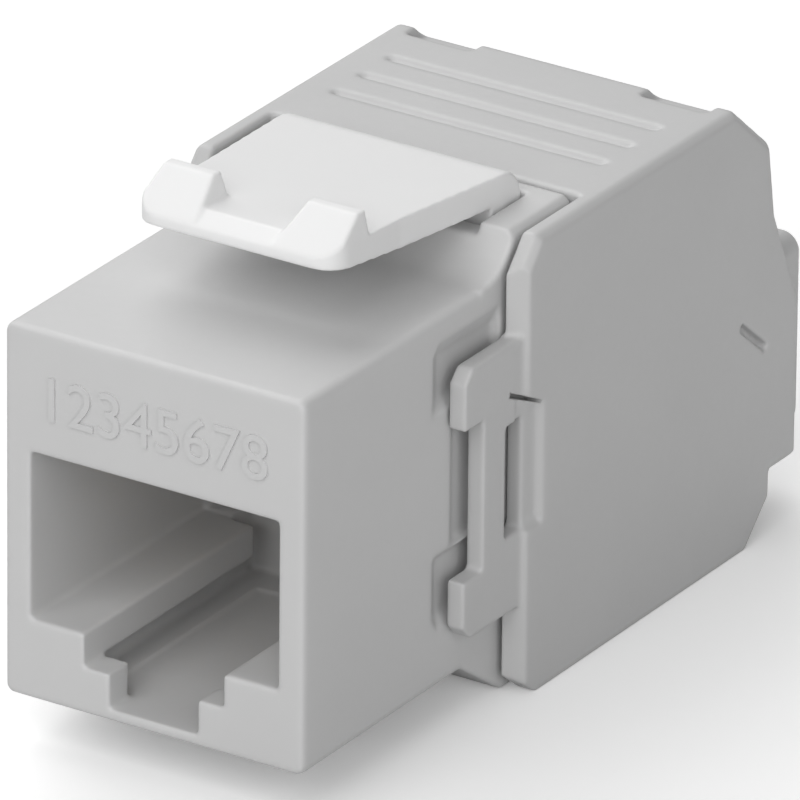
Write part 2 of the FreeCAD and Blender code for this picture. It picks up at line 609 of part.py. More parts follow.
def idc_block():
    """The terminal block: a base on the board and two rows of towers that hold the blades."""
    width = BOARD_WIDTH
    body = mid_box(width, BOARD_REAR_Y, TERMINAL_BASE_Y, BOARD_BOTTOM_Z, BOARD_TOP_Z)
    half_tower = TERMINAL_TOWER_HEIGHT / 2
    towers = [mid_box(width, BOARD_REAR_Y, TERMINAL_REAR_Y, z - half_tower, z + half_tower)
              for z in (TERMINAL_ROW_LOW_Z, TERMINAL_ROW_HIGH_Z)]
    body = body.fuse(towers).removeSplitter()
    cuts = []
    for x, z in terminal_places():
        half = BLADE_WIDTH / 2 + BLADE_GAP
        thick = BLADE_THICKNESS / 2 + BLADE_GAP
        cuts.append(box(x - half, x + half, BOARD_REAR_Y, TERMINAL_REAR_Y, z - thick, z + thick))
        groove = CORE_GROOVE_WIDTH / 2
        cuts.append(box(x - groove, x + groove,
                        TERMINAL_REAR_Y - BLADE_TIP_SETBACK - BLADE_FORK_DEPTH,
                        TERMINAL_REAR_Y, z - half_tower, z + half_tower))
    pin_room = CONTACT_WIRE_RADIUS + HOLE_GAP
    cuts.append(mid_box(CONTACT_COUNT * CONTACT_PITCH, BOARD_REAR_Y, BOARD_REAR_Y + SOLDER_ROOM,
                        CONTACT_ROOT_Z - pin_room, CONTACT_ROOT_Z + pin_room))
    return body.cut(cuts)


# ---- rear cover ----------------------------------------------------------------------------------
def cover_outline():
    """The cover's side outline: cut front corners, sloped crown, outlet nose and raised tail."""
    front = COVER_CHEEK_FRONT_Y
    corner = front + CHEEK_CORNER_LENGTH
    return [
        (front, COVER_BOTTOM_Z + CHEEK_TOE_HEIGHT),
        (corner, COVER_BOTTOM_Z),
        (HEEL_Y, COVER_BOTTOM_Z),
        (TAIL_Y, TAIL_Z),
        (TAIL_Y, NOSE_BOTTOM_Z),
        (COVER_REAR_Y, NOSE_BOTTOM_Z),
        (COVER_REAR_Y, NOSE_TOP_Z),
        (BACK_BREAK_Y, BACK_BREAK_Z),
        (CROWN_END_Y, CROWN_END_Z),
        (CROWN_START_Y, COVER_TOP_Z),
        (corner, COVER_TOP_Z),
        (front, COVER_TOP_Z - CHEEK_CORNER_HEIGHT),
    ]


def inner_outline():
    """The cover's room, one wall inside its outline and open at the front."""
    wall = COVER_WALL
    return [
        (0, COVER_BOTTOM_Z + wall),
        (HEEL_Y - wall / 2, COVER_BOTTOM_Z + wall),
        (TAIL_Y - wall, TAIL_Z + wall / 2),
        (TAIL_Y - wall, CROWN_END_Z - wall),
        (CROWN_START_Y - wall / 2, COVER_TOP_Z - wall),
        (0, COVER_TOP_Z - wall),
    ]


def cheek_bevel():
    """The wedge taken off the +X cheek's front edge, so that its outer face starts further back."""
    front = COVER_CHEEK_FRONT_Y
    corners = [
        V(HALF_COVER - CHEEK_BEVEL_WIDTH, front, COVER_BOTTOM_Z),
        V(HALF_COVER, front + CHEEK_BEVEL_LENGTH, COVER_BOTTOM_Z),
        V(HALF_COVER, front, COVER_BOTTOM_Z),
    ]
    face = Part.Face(Part.makePolygon(corners + corners[:1]))
    return face.extrude(V(0, 0, COVER_TOP_Z - COVER_BOTTOM_Z))


def arm_plate():
    """One snap arm at +X: a bar with two forward prongs, joined to the cheek behind a window."""
    bar = ARM_BAR_FRONT_Y
    front = bar - ARM_PRONG_LENGTH
    cut = ARM_CORNER_CUT
    upper = ARM_TOP_Z - ARM_PRONG_HEIGHT
    lower = ARM_BOTTOM_Z + ARM_PRONG_HEIGHT
    rear = RELIEF_REAR_Y
    outline = [
        (rear, ARM_BOTTOM_Z),
        (front + cut, ARM_BOTTOM_Z),
        (front, ARM_BOTTOM_Z + cut),
        (front, lower),
        (bar, lower),
        (bar, upper),
        (front, upper),
        (front, ARM_TOP_Z - cut),
        (front + cut, ARM_TOP_Z),
        (rear, ARM_TOP_Z),
    ]
    plate = side_prism(outline, ARM_INNER, ARM_OUTER)
    window = box(ARM_INNER, HALF_COVER, WINDOW_FRONT_Y, WINDOW_FRONT_Y + WINDOW_LENGTH,
                 WINDOW_BOTTOM_Z, WINDOW_TOP_Z)
    return plate, window


def slit():
    """The short slanting slot in the outer face of the +X side wall, near its rear."""
    bar = box(-SLIT_DEPTH, SLIT_DEPTH, -SLIT_LENGTH / 2, SLIT_LENGTH / 2, -SLIT_WIDTH / 2,
              SLIT_WIDTH / 2)
    bar.rotate(V(0, 0, 0), V(1, 0, 0), SLIT_ANGLE)
    bar.translate(V(HALF_COVER, SLIT_Y, SLIT_Z))
    return bar


def grip_grooves():
    """The shallow cross grooves on the cover's top."""
    grooves = []
    for index in range(GROOVE_COUNT):
        y = GROOVE_FIRST_Y + index * GROOVE_PITCH
        grooves.append(mid_box(GROOVE_LENGTH, y - GROOVE_WIDTH / 2, y + GROOVE_WIDTH / 2,
                               COVER_TOP_Z - GROOVE_DEPTH, COVER_TOP_Z + CUT_OVERRUN))
    return grooves


def crown_notch():
    """The notch at +X beside the crown's middle tongue."""
    x0 = CROWN_TONGUE_WIDTH / 2
    return box(x0, x0 + CROWN_NOTCH_WIDTH, CROWN_NOTCH_START_Y, CROWN_END_Y + CUT_OVERRUN,
               CROWN_NOTCH_FLOOR_Z, COVER_TOP_Z + CUT_OVERRUN)


def both_sides(shape):
    """A shape and its mirror image across the plane of symmetry."""
    return [shape, shape.mirror(V(0, 0, 0), V(1, 0, 0))]


def outlet_mouth():
    """The hole in the cover's back that the wire manager's outlet comes through."""
    relief = MOUTH_RELIEF
    half = OUTLET_WIDTH / 2 + relief
    return box(-half, half, TAIL_Y - COVER_WALL - CUT_OVERRUN, COVER_REAR_Y + CUT_OVERRUN,
               OUTLET_BOTTOM_Z - relief, OUTLET_TOP_Z + relief)


def rear_cover():
    """The snap-on rear cover: a box open to the front, with cheeks and two snap arms."""
    body = side_prism(cover_outline(), -HALF_COVER, HALF_COVER)
    long_edges = edges_where(body, lambda p: near(abs(p.x), HALF_COVER) and p.z > TAIL_Z)
    body = body.makeChamfer(COVER_EDGE_ROUND, long_edges)
    room = side_prism(inner_outline(), -COVER_INNER, COVER_INNER)
    front_opening = mid_box(2 * COVER_INNER, 0, COVER_OPEN_Y, COVER_BOTTOM_Z - CUT_OVERRUN,
                            COVER_TOP_Z + CUT_OVERRUN)
    plate, window = arm_plate()
    relief = box(HALF_COVER - RELIEF_DEPTH, HALF_COVER + CUT_OVERRUN, 0, RELIEF_REAR_Y,
                 WINDOW_BOTTOM_Z - RELIEF_BOTTOM_GAP, WINDOW_TOP_Z + RELIEF_TOP_GAP)
    body = body.cut([room, front_opening] + both_sides(relief) + both_sides(cheek_bevel()))
    body = body.fuse(both_sides(plate)).removeSplitter()
    cuts = both_sides(window) + both_sides(crown_notch()) + both_sides(slit())
    return body.cut(cuts + grip_grooves() + [outlet_mouth()])


# ---- wire manager ----------------------------------------------------------------------------------
def wire_manager():
    """The wire manager: a plate with core grooves and a cable outlet out of the cover's back."""
    half = COVER_INNER - MANAGER_CLEARANCE
    wall = COVER_WALL + MANAGER_CLEARANCE
    plate = box(-half, half, MANAGER_FRONT_Y, MANAGER_PLATE_REAR_Y,
                COVER_BOTTOM_Z + wall, COVER_TOP_Z - wall)
    outlet = mid_box(OUTLET_WIDTH, MANAGER_FRONT_Y, OUTLET_REAR_Y, OUTLET_BOTTOM_Z,
                     OUTLET_TOP_Z)
    long_edges = edges_where(outlet, lambda p: near(abs(p.x), OUTLET_WIDTH / 2)
                             and (near(p.z, OUTLET_TOP_Z) or near(p.z, OUTLET_BOTTOM_Z)))
    outlet = outlet.makeFillet(OUTLET_ROUND, long_edges)
    body = plate.fuse(outlet).removeSplitter()
    bore = rod_y(CABLE_BORE_RADIUS, MANAGER_FRONT_Y, OUTLET_REAR_Y, 0, CABLE_Z)
    grooves = []
    for x, z in terminal_places():
        groove = CORE_GROOVE_WIDTH / 2
        z0, z1 = (COVER_BOTTOM_Z, CABLE_Z) if z < CABLE_Z else (CABLE_Z, COVER_TOP_Z)
        grooves.append(box(x - groove, x + groove, MANAGER_FRONT_Y,
                           MANAGER_FRONT_Y + CORE_GROOVE_WIDTH, z0, z1))
    return body.cut([bore] + grooves)


def write(name, shape):
    """Checks a piece, moves it into the finished frame and writes its file."""
    if not shape.isValid() or not shape.Solids:
        raise RuntimeError(name + " isn't a valid solid")
    placed = shape.copy()
    placed.translate(PLACE)
    placed.exportStep("parts/" + name + ".step")
    print(name, len(placed.Solids), round(placed.Volume, 2))


def main():
    """Builds and writes every piece."""
    os.makedirs("parts", exist_ok=True)
    write("front_housing", front_housing())
    write("keystone_latch", keystone_latch())
    write("contact_carrier", contact_carrier())
    for number in range(1, CONTACT_COUNT + 1):
        write("spring_contact_%d" % number, spring_contact(number))
    write("circuit_board", circuit_board())
    write("idc_block", idc_block())
    for number, (x, z) in enumerate(terminal_places(), 1):
        write("idc_contact_%d" % number, idc_contact(x, z))
    write("rear_cover", rear_cover())
    write("wire_manager", wire_manager())


main()
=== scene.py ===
import logging
import math
from dataclasses import dataclass
from enum import Enum

import bmesh
import bpy
from mathutils import Matrix, Vector
from mathutils.geometry import intersect_point_line


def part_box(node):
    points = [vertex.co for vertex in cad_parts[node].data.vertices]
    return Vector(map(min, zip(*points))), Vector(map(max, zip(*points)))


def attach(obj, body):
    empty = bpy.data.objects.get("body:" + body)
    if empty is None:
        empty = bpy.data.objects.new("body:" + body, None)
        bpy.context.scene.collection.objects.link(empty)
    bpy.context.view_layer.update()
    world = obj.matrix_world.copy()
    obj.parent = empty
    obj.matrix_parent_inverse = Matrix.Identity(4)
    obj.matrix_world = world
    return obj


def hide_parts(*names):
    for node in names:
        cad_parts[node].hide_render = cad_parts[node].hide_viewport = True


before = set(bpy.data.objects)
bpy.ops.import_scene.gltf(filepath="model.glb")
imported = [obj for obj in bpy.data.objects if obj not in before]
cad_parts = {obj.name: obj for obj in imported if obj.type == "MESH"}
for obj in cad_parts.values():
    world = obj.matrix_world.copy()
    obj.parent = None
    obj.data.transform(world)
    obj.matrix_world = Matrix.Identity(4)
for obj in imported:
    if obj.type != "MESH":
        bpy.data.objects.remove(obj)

LOG = logging.getLogger("keystone_jack")
MM = 0.001
WAYS = 8

# From the port's front face and the block's underside to the origin that every piece shares.
ORIGIN_SHIFT_Y = -19.3
ORIGIN_SHIFT_Z = 2.1

# Points this close are one corner of a CAD solid, and triangles that turn less lie in one flat.
WELD_MM = 0.002
FLAT_TURN_DEG = 0.5
# Points this close are one corner of a raised digit.
SEAM_MM = 0.001
# Edges that turn more than this get a rounding, which takes up to this share of a narrow wall.
SHARP_TURN_DEG = 25.0
ROOM_SHARE = 0.45
# Edges that turn more than this are shaded as creases.
CREASE_DEG = 40.0
# A face that leans less than about 25 degrees from facing straight up counts as lying.
LYING_NORMAL_Z = 0.9
# What a cut through a fine mesh leaves is smaller than this, or has fewer faces.
SLIVER_MM = 0.015
FEWEST_FACES = 12

# A Mix node has one set of sockets for each kind of data: these are its colours.
MIX_A, MIX_B, MIX_RESULT = 6, 7, 2
# The straight steps round each bend of a wire.
BEND_STEPS = 10
# Nearly all of a noise texture's values lie between these.
NOISE_LOW, NOISE_HIGH = 0.3, 0.7


# ---- units, colours and nodes --------------------------------------------------------------------
def place(x: float, y: float, z: float) -> Vector:
    """A point of the jack in metres.

    Args:
        x: millimetres to the right of the plane of symmetry.
        y: millimetres behind the port's front face.
        z: millimetres above the underside of the front block.

    Returns:
        The same point in the frame that every piece shares.
    """
    return Vector((x, y + ORIGIN_SHIFT_Y, z + ORIGIN_SHIFT_Z)) * MM


def linear(hex_colour: str) -> tuple[float, float, float, float]:
    """Turns an sRGB hex colour into linear light.

    Args:
        hex_colour: six hex digits after a hash.

    Returns:
        Red, green, blue and an alpha of 1.
    """
    channels = []
    for start in (1, 3, 5):
        value = int(hex_colour[start:start + 2], 16) / 255
        channels.append(value / 12.92 if value <= 0.04045 else ((value + 0.055) / 1.055) ** 2.4)
    return (channels[0], channels[1], channels[2], 1.0)


def per_metre(size_mm: float) -> float:
    """The noise scale whose features are about size_mm across."""
    return 1.0 / (size_mm * MM)


def add_node(tree: bpy.types.NodeTree, kind: str, settings: dict | None = None,
             links: dict | None = None) -> bpy.types.Node:
    """Adds one node to a tree.

    Args:
        tree: the material's or the modifier's tree.
        kind: the node's type name.
        settings: node properties by name, and input values by socket name or number.
        links: output sockets to join to inputs, by socket name or number.

    Returns:
        The new node.
    """
    node = tree.nodes.new(kind)
    for key, value in (settings or {}).items():
        if isinstance(key, str) and hasattr(node, key):
            setattr(node, key, value)
        else:
            node.inputs[key].default_value = value
    for key, socket in (links or {}).items():
        tree.links.new(socket, node.inputs[key])
    return node


def blank_material(name: str) -> bpy.types.Material:
    """Opens a material with an empty tree.

    Args:
        name: what the material is called in the trade.

    Returns:
        The material, with no node in it.
    """
    material = bpy.data.materials.new(name)
    material.use_nodes = True
    material.node_tree.nodes.clear()
    return material


# ---- finishes ------------------------------------------------------------------------------------
@dataclass(frozen=True)
class MouldedPlastic:
    """A plastic as it leaves the mould.

    Attributes:
        name: what the material is called in the trade.
        colour: its colour as sRGB hex.
        roughness: how matt the mould's texture leaves it.
        gloss_spread: how far the roughness wanders to each side from grain to grain.
        grain_mm: how far apart the grains of the mould's texture lie.
        grain_depth_mm: how deep that texture is.
        mottle: how far the colour wanders in slow clouds, as a share.
        cloud_mm: how wide those clouds are.
        ior: how strongly it bends light.
    """

    name: str
    colour: str
    roughness: float
    gloss_spread: float = 0.05
    # The grain of a real mould is under 0.1 mm apart. It is drawn this coarse so that it shows.
    grain_mm: float = 0.35
    grain_depth_mm: float = 0.004
    mottle: float = 0.03
    cloud_mm: float = 5.0
    ior: float = 1.5

    def build(self) -> bpy.types.Material:
        """Makes the material with its clouds of colour and its moulded grain."""
        material = blank_material(self.name)
        tree = material.node_tree
        base = linear(self.colour)
        dark = tuple(c * (1 - self.mottle) for c in base[:3]) + (1.0,)
        light = tuple(min(1.0, c * (1 + self.mottle)) for c in base[:3]) + (1.0,)
        spot = add_node(tree, "ShaderNodeTexCoord")
        clouds = add_node(tree, "ShaderNodeTexNoise",
                          {"Scale": per_metre(self.cloud_mm), "Detail": 3.0},
                          {"Vector": spot.outputs["Object"]})
        colour = add_node(tree, "ShaderNodeMix",
                          {"data_type": "RGBA", MIX_A: dark, MIX_B: light},
                          {0: clouds.outputs["Fac"]})
        grain = add_node(tree, "ShaderNodeTexNoise",
                         {"Scale": per_metre(self.grain_mm), "Detail": 4.0},
                         {"Vector": spot.outputs["Object"]})
        gloss = add_node(tree, "ShaderNodeMapRange",
                         {"From Min": NOISE_LOW, "From Max": NOISE_HIGH,
                          "To Min": self.roughness - self.gloss_spread,
                          "To Max": self.roughness + self.gloss_spread},
                         {"Value": grain.outputs["Fac"]})
        bump = add_node(tree, "ShaderNodeBump",
                        {"Strength": 1.0, "Distance": self.grain_depth_mm * MM},
                        {"Height": grain.outputs["Fac"]})
        shader = add_node(tree, "ShaderNodeBsdfPrincipled", {"IOR": self.ior},
                          {"Base Color": colour.outputs[MIX_RESULT],
                           "Roughness": gloss.outputs["Result"],
                           "Normal": bump.outputs["Normal"]})
        add_node(tree, "ShaderNodeOutputMaterial", None, {"Surface": shader.outputs["BSDF"]})
        return material


@dataclass(frozen=True)
class PlatedMetal:
    """A thin metal plated over bronze.

    Attributes:
        name: what the material is called in the trade.
        colour: the plating's colour as sRGB hex.
        worn: the colour where the plating is thinner.
        roughness: how matt the plating is.
        polish: how far a thick spot of the plating falls below that roughness.
        dulling: how far a thin spot rises above it.
        draw_mm: how far apart the drawing lines lie.
        draw_squeeze: the scale along the lines, as a share of the scale across them.
    """

    name: str
    colour: str
    worn: str
    roughness: float
    polish: float = 0.06
    dulling: float = 0.08
    # Real drawing lines are finer. They are drawn this far apart so that they show.
    draw_mm: float = 0.12
    draw_squeeze: float = 0.15

    def build(self) -> bpy.types.Material:
        """Makes the material with its drawing lines and its uneven plating."""
        material = blank_material(self.name)
        tree = material.node_tree
        spot = add_node(tree, "ShaderNodeTexCoord")
        stretch = add_node(tree, "ShaderNodeMapping",
                           {"Scale": (1.0, self.draw_squeeze, 1.0)},
                           {"Vector": spot.outputs["Object"]})
        lines = add_node(tree, "ShaderNodeTexNoise",
                         {"Scale": per_metre(self.draw_mm), "Detail": 3.0},
                         {"Vector": stretch.outputs["Vector"]})
        colour = add_node(tree, "ShaderNodeMix",
                          {"data_type": "RGBA", MIX_A: linear(self.worn),
                           MIX_B: linear(self.colour)},
                          {0: lines.outputs["Fac"]})
        gloss = add_node(tree, "ShaderNodeMapRange",
                         {"From Min": NOISE_LOW, "From Max": NOISE_HIGH,
                          "To Min": self.roughness - self.polish,
                          "To Max": self.roughness + self.dulling},
                         {"Value": lines.outputs["Fac"]})
        shader = add_node(tree, "ShaderNodeBsdfPrincipled", {"Metallic": 1.0},
                          {"Base Color": colour.outputs[MIX_RESULT],
                           "Roughness": gloss.outputs["Result"]})
        add_node(tree, "ShaderNodeOutputMaterial", None, {"Surface": shader.outputs["BSDF"]})
        return material


@dataclass(frozen=True)
class CoatedLaminate:
    """Glass-epoxy board under a solder mask.

    Attributes:
        name: what the material is called in the trade.
        mask: the mask over bare laminate, as sRGB hex.
        track: the mask over copper, as sRGB hex.
        roughness: how matt the mask is.
        weave_mm: the spacing of the glass cloth's threads.
        weave_depth_mm: how far the threads stand up under the mask.
        weave_strength: how much of that shows, as a share.
        ior: how strongly the mask bends light.
    """

    name: str
    mask: str
    track: str
    roughness: float = 0.28
    weave_mm: float = 0.5
    weave_depth_mm: float = 0.01
    weave_strength: float = 0.3
    ior: float = 1.52

    def build(self) -> bpy.types.Material:
        """Makes the material with the glass cloth that shows faintly through the mask."""
        material = blank_material(self.name)
        tree = material.node_tree
        spot = add_node(tree, "ShaderNodeTexCoord")
        cells = add_node(tree, "ShaderNodeTexVoronoi",
                         {"distance": "MANHATTAN", "Scale": per_metre(self.weave_mm)},
                         {"Vector": spot.outputs["Object"]})
        colour = add_node(tree, "ShaderNodeMix",
                          {"data_type": "RGBA", MIX_A: linear(self.track),
                           MIX_B: linear(self.mask)},
                          {0: cells.outputs["Distance"]})
        bump = add_node(tree, "ShaderNodeBump",
                        {"Strength": self.weave_strength, "Distance": self.weave_depth_mm * MM},
                        {"Height": cells.outputs["Distance"]})
        shader = add_node(tree, "ShaderNodeBsdfPrincipled",
                          {"IOR": self.ior, "Roughness": self.roughness},
                          {"Base Color": colour.outputs[MIX_RESULT],
                           "Normal": bump.outputs["Normal"]})
        add_node(tree, "ShaderNodeOutputMaterial", None, {"Surface": shader.outputs["BSDF"]})
        return material


class Trade(Enum):
    """The finishes of this jack, each named for its real material."""

    # Grey ABS from a finely eroded mould: even and satin, with soft highlights on its edges.
    HOUSING_ABS = MouldedPlastic("grey_abs_eroded_mould", "#CFCFCF", 0.48)
    # The cover comes from a second mould of the same resin, polished a little more.
    COVER_ABS = MouldedPlastic("grey_abs_satin_mould", "#C8C8C8", 0.45)
    # The latch is unpigmented acetal: nearly white, and waxy, so its highlights spread.
    LATCH_ACETAL = MouldedPlastic("natural_acetal_moulded", "#F0F0F0", 0.42, mottle=0.015)
    # The comb over the port is glass-filled polyester: duller and a touch darker.
    CARRIER_PBT = MouldedPlastic("grey_glass_filled_pbt", "#A9A9A9", 0.55, grain_mm=0.2)
    # The terminal block is polycarbonate, so it is a little glossier than the housing.
    TERMINAL_PC = MouldedPlastic("pale_grey_polycarbonate", "#C6C6C3", 0.35)
    # Gold flash over nickel on drawn bronze wire: warm, bright, with fine lines along the wire.
    CONTACT_GOLD = PlatedMetal("gold_flashed_bronze_wire", "#E2BC68", "#C79A4B", 0.24)
    # Tin on stamped bronze: pale grey, with a soft bloom.
    TERMINAL_TIN = PlatedMetal("tin_plated_bronze_strip", "#C9C8C4", "#ADABA6", 0.36)
    # Green solder mask over glass-epoxy: deep, glossy, with the cloth just showing.
    BOARD_MASK = CoatedLaminate("green_masked_glass_epoxy", "#1F6A3A", "#2F7F47")


class FinishShelf:
    """Makes each finish once and hands it out."""

    def __init__(self) -> None:
        """Starts with nothing made."""
        self.made: dict[Trade, bpy.types.Material] = {}

    def take(self, trade: Trade) -> bpy.types.Material:
        """The material of a finish, made on first use."""
        if trade not in self.made:
            self.made[trade] = trade.value.build()
        return self.made[trade]


# ---- mesh work -----------------------------------------------------------------------------------
class Bench:
    """The mesh work that every piece shares."""

    @staticmethod
    def new_object(name: str, mesh: bpy.types.Mesh) -> bpy.types.Object:
        """Puts a mesh into the scene under a name."""
        piece = bpy.data.objects.new(name, mesh)
        bpy.context.scene.collection.objects.link(piece)
        return piece

    @staticmethod
    def solid_copy(node: str, name: str) -> bpy.types.Object:
        """Copies a CAD solid with its flat faces whole again.

        Args:
            node: the CAD node.
            name: the name of the new piece.

        Returns:
            The new piece, ready to be softened.
        """
        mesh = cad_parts[node].data.copy()
        mesh.name = name
        work = bmesh.new()
        work.from_mesh(mesh)
        bmesh.ops.remove_doubles(work, verts=work.verts, dist=WELD_MM * MM)
        bmesh.ops.dissolve_limit(work, angle_limit=math.radians(FLAT_TURN_DEG),
                                 verts=work.verts, edges=work.edges, delimit=set())
        bmesh.ops.recalc_face_normals(work, faces=work.faces)
        work.to_mesh(mesh)
        work.free()
        mesh.materials.clear()
        return Bench.new_object(name, mesh)

    @staticmethod
    def rounded_copy(node: str, name: str, radius_mm: float, segments: int) -> bpy.types.Object:
        """Copies a CAD solid and rounds its edges.

        Args:
            node: the CAD node.
            name: the name of the new piece.
            radius_mm: the radius of the rounding where there is room for it.
            segments: the steps across each rounding.

        Returns:
            The new piece, ready for its finish.
        """
        piece = Bench.solid_copy(node, name)
        Bench.soften(piece, radius_mm, segments)
        Bench.smooth(piece)
        return piece

    @staticmethod
    def gap_across(edge: bmesh.types.BMEdge, face: bmesh.types.BMFace) -> float:
        """How far a face reaches from one of its edges before it meets another of its edges.

        Args:
            edge: the edge to measure from.
            face: a face that the edge borders.

        Returns:
            The shortest such distance, in metres.
        """
        near, far = edge.verts[0].co, edge.verts[1].co
        reach = math.inf
        for other in face.edges:
            if other is edge:
                continue
            shared = [v for v in other.verts if v in edge.verts]
            if shared:
                reach = min(reach, other.calc_length())
                continue
            for vert in other.verts:
                share = intersect_point_line(vert.co, near, far)[1]
                spot = near.lerp(far, min(1.0, max(0.0, share)))
                reach = min(reach, (vert.co - spot).length)
            for end in (near, far):
                a, b = other.verts[0].co, other.verts[1].co
                share = intersect_point_line(end, a, b)[1]
                spot = a.lerp(b, min(1.0, max(0.0, share)))
                reach = min(reach, (end - spot).length)
        return reach

    @staticmethod
    def soften(piece: bpy.types.Object, radius_mm: float, segments: int) -> None:
        """Rounds a piece's sharp edges as a mould does, less where a wall or a step is narrow.

        Args:
            piece: the piece to change.
            radius_mm: the radius of the rounding where there is room for it.
            segments: the steps across each rounding.
        """
        work = bmesh.new()
        work.from_mesh(piece.data)
        layer = work.edges.layers.float.new("bevel_weight_edge")
        radius = radius_mm * MM
        sharp = math.radians(SHARP_TURN_DEG)
        for edge in work.edges:
            if len(edge.link_faces) != 2 or edge.calc_face_angle(0.0) < sharp:
                continue
            room = min(Bench.gap_across(edge, face) for face in edge.link_faces)
            edge[layer] = min(1.0, ROOM_SHARE * room / radius)
        work.to_mesh(piece.data)
        work.free()
        bevel = piece.modifiers.new("mould_round", "BEVEL")
        bevel.width = radius
        bevel.segments = segments
        bevel.limit_method = "WEIGHT"
        bevel.use_clamp_overlap = False
        Bench.settle(piece)

    @staticmethod
    def carve(piece: bpy.types.Object, corners: list[Vector]) -> None:
        """Cuts a flat-sided hollow out of a piece.

        Args:
            piece: the piece to change.
            corners: the corners of the hollow, none of which lies inside the others' hull.
        """
        work = bmesh.new()
        for corner in corners:
            work.verts.new(corner)
        bmesh.ops.convex_hull(work, input=work.verts)
        bmesh.ops.recalc_face_normals(work, faces=work.faces)
        mesh = bpy.data.meshes.new("room")
        work.to_mesh(mesh)
        work.free()
        cutter = Bench.new_object("room", mesh)
        cut = piece.modifiers.new("room", "BOOLEAN")
        cut.operation = "DIFFERENCE"
        cut.solver = "EXACT"
        cut.object = cutter
        Bench.settle(piece)
        bpy.data.objects.remove(cutter)

    @staticmethod
    def carve_sides(piece: bpy.types.Object, hollows: tuple) -> None:
        """Cuts the same hollows into both sides of a piece.

        Args:
            piece: the piece to change.
            hollows: for each, its rings of (x, (y, z), (y, z), ...) in millimetres.
        """
        for rings in hollows:
            for side in (1, -1):
                Bench.carve(piece, Bench.ring_corners(rings, side))

    @staticmethod
    def ring_corners(rings: tuple, side: int) -> list[Vector]:
        """The corners of a hollow's rings, on the right for side 1 or on the left for -1."""
        return [place(side * ring[0], y, z) for ring in rings for y, z in ring[1:]]

    @staticmethod
    def melt(piece: bpy.types.Object, voxel_mm: float, passes: int, keep: float) -> None:
        """Rounds every edge of a piece alike, as resin that filled its mould leaves them.

        The new mesh follows the grid of its cells, so a piece whose widest face slopes is levelled
        first and turned back after, or that face would come out in steps.

        Args:
            piece: the piece to change.
            voxel_mm: the cell of the new mesh.
            passes: how many times its points are drawn towards their neighbours.
            keep: the share of the faces that stays, since flat areas need few.
        """
        widest = max(piece.data.polygons, key=lambda face: face.area)
        level = widest.normal.rotation_difference(Vector((0, 0, 1))).to_matrix().to_4x4()
        widest_lies = widest.normal.z > LYING_NORMAL_Z
        if widest_lies:
            piece.data.transform(level)
        remesh = piece.modifiers.new("resin_flow", "REMESH")
        remesh.mode = "VOXEL"
        remesh.voxel_size = voxel_mm * MM
        relax = piece.modifiers.new("resin_skin", "SMOOTH")
        relax.factor = 0.5
        relax.iterations = passes
        thin = piece.modifiers.new("flat_areas", "DECIMATE")
        thin.ratio = keep
        Bench.settle(piece)
        if widest_lies:
            piece.data.transform(level.inverted())
        piece.data.shade_smooth()

    @staticmethod
    def trim(piece: bpy.types.Object) -> None:
        """Takes away the slivers and loose faces that a cut through a fine mesh leaves.

        Args:
            piece: the piece that was cut.
        """
        work = bmesh.new()
        work.from_mesh(piece.data)
        bmesh.ops.remove_doubles(work, verts=work.verts, dist=SLIVER_MM * MM)
        bmesh.ops.dissolve_degenerate(work, edges=work.edges, dist=SLIVER_MM * MM)
        bmesh.ops.triangulate(work, faces=work.faces)
        left = set(work.faces)
        while left:
            island = [left.pop()]
            for face in island:
                near = {other for edge in face.edges for other in edge.link_faces} & left
                left -= near
                island.extend(near)
            if len(island) < FEWEST_FACES:
                bmesh.ops.delete(work, geom=island, context="FACES")
        work.to_mesh(piece.data)
        work.free()

    @staticmethod
    def settle(piece: bpy.types.Object) -> None:
        """Turns a piece and its modifiers into a plain mesh.

        Args:
            piece: the piece, which keeps its name.
        """
        graph = bpy.context.evaluated_depsgraph_get()
        mesh = bpy.data.meshes.new_from_object(piece.evaluated_get(graph))
        mesh.name = piece.name
        piece.modifiers.clear()
        piece.data = mesh

    @staticmethod
    def grow(piece: bpy.types.Object, tree: bpy.types.NodeTree, sizes: dict[str, object]) -> None:
        """Runs a Geometry Nodes tree on a piece and keeps the plain mesh that it makes.

        Args:
            piece: the piece that carries the tree's starting mesh.
            tree: the tree.
            sizes: the tree's named inputs.
        """
        rule = piece.modifiers.new(tree.name, "NODES")
        rule.node_group = tree
        for item in tree.interface.items_tree:
            if item.in_out == "INPUT" and item.name in sizes:
                rule[item.identifier] = sizes[item.name]
        Bench.settle(piece)

    @staticmethod
    def smooth(piece: bpy.types.Object) -> None:
        """Shades a piece smooth over its roundings and keeps its flats flat.

        Args:
            piece: the piece to shade.
        """
        piece.data.shade_smooth()
        piece.data.set_sharp_from_angle(angle=math.radians(CREASE_DEG))
        weigh = piece.modifiers.new("flat_faces", "WEIGHTED_NORMAL")
        weigh.keep_sharp = True
        Bench.settle(piece)

    @staticmethod
    def dress(piece: bpy.types.Object, material: bpy.types.Material, slot: str, body: str,
              *nodes: str) -> None:
        """Gives a finished piece its material and its place on a body.

        Args:
            piece: the piece, at the origin with its place in its mesh.
            material: its finish.
            slot: not used.
            body: the CAD body that carries it.
            nodes: the CAD nodes that it stands for.
        """
        piece.data.materials.clear()
        piece.data.materials.append(material)
        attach(piece, body)
        if nodes:
            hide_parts(*nodes)
        LOG.info("%s: %d faces on %s", piece.name, len(piece.data.polygons), body)


